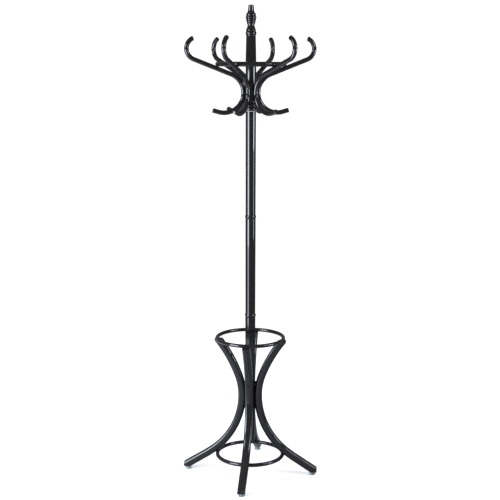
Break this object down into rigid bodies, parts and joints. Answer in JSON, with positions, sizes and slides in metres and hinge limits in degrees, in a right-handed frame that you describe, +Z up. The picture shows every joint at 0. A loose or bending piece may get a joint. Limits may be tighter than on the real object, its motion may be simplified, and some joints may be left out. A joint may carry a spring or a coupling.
{
  "type": "standing coat rack",
  "caption": "Standing coat rack: turned pole on bent legs with umbrella rings, and a revolving head of double bent hooks under a turned finial.",
  "frame": {"origin": "on the floor under the pole's axis, at rest", "axes": "+Z up along the pole; the four legs lie along +X, +Y, -X and -Y; the first hook points 17 degrees round from +X"},
  "size_m": [0.541, 0.541, 1.85],
  "materials": {
    "turned_lacquer": "high gloss black lacquer on turned wood",
    "bent_lacquer": "high gloss black lacquer on bent wood",
    "zinc": "bright zinc plate",
    "black_steel": "black oxide with a light sheen",
    "plated_steel": "yellow-grey plated steel",
    "nylon": "natural nylon, matte"
  },
  "bodies": {
    "stand": {"pole_lower": "turned_lacquer", "pole_middle": "turned_lacquer", "pole_upper": "turned_lacquer", "pole_studs": "plated_steel", "pole_inserts": "plated_steel", "pivot_pin": "plated_steel", "swivel_washer": "nylon", "leg_right": "bent_lacquer", "leg_back": "bent_lacquer", "leg_left": "bent_lacquer", "leg_front": "bent_lacquer", "leg_bolts": "black_steel", "leg_inserts": "plated_steel", "umbrella_ring": "bent_lacquer", "umbrella_ring_screws": "black_steel", "lower_ring": "bent_lacquer", "lower_ring_screws": "black_steel", "glide_inserts": "plated_steel"},
    "head": {"head_post": "turned_lacquer", "finial": "turned_lacquer", "finial_stud": "plated_steel", "pivot_bush": "nylon", "hook_ring": "bent_lacquer", "hook_ring_screws": "black_steel", "hook_screws": "black_steel", "hook_1": "bent_lacquer", "hook_2": "bent_lacquer", "hook_3": "bent_lacquer", "hook_4": "bent_lacquer", "hook_5": "bent_lacquer", "hook_6": "bent_lacquer"},
    "right_pad": {"glide_pad_right": "zinc"},
    "right_screw": {"glide_screw_right": "zinc"},
    "back_pad": {"glide_pad_back": "zinc"},
    "back_screw": {"glide_screw_back": "zinc"},
    "left_pad": {"glide_pad_left": "zinc"},
    "left_screw": {"glide_screw_left": "zinc"},
    "front_pad": {"glide_pad_front": "zinc"},
    "front_screw": {"glide_screw_front": "zinc"}
  },
  "joints": [
    {"name": "head_turn", "type": "hinge", "parent": "stand", "child": "head", "pos_m": [0, 0, 1.454], "axis": [0, 0, 1], "continuous": true},
    {"name": "right_glide_travel", "type": "slide", "parent": "stand", "child": "right_pad", "axis": [0, 0, -1], "range_m": [0, 0.01]},
    {"name": "right_glide_turn", "type": "hinge", "parent": "right_pad", "child": "right_screw", "pos_m": [0.253, 0, 0], "axis": [0, 0, -1], "range_deg": [0, 2880]},
    {"name": "back_glide_travel", "type": "slide", "parent": "stand", "child": "back_pad", "axis": [0, 0, -1], "range_m": [0, 0.01]},
    {"name": "back_glide_turn", "type": "hinge", "parent": "back_pad", "child": "back_screw", "pos_m": [0, 0.253, 0], "axis": [0, 0, -1], "range_deg": [0, 2880]},
    {"name": "left_glide_travel", "type": "slide", "parent": "stand", "child": "left_pad", "axis": [0, 0, -1], "range_m": [0, 0.01]},
    {"name": "left_glide_turn", "type": "hinge", "parent": "left_pad", "child": "left_screw", "pos_m": [-0.253, 0, 0], "axis": [0, 0, -1], "range_deg": [0, 2880]},
    {"name": "front_glide_travel", "type": "slide", "parent": "stand", "child": "front_pad", "axis": [0, 0, -1], "range_m": [0, 0.01]},
    {"name": "front_glide_turn", "type": "hinge", "parent": "front_pad", "child": "front_screw", "pos_m": [0, -0.253, 0], "axis": [0, 0, -1], "range_deg": [0, 2880]}
  ],
  "couplings": [
    {"joint": "right_glide_turn", "follows": "right_glide_travel", "rad_per_m": 5026.5},
    {"joint": "back_glide_turn", "follows": "back_glide_travel", "rad_per_m": 5026.5},
    {"joint": "left_glide_turn", "follows": "left_glide_travel", "rad_per_m": 5026.5},
    {"joint": "front_glide_turn", "follows": "front_glide_travel", "rad_per_m": 5026.5}
  ]
}
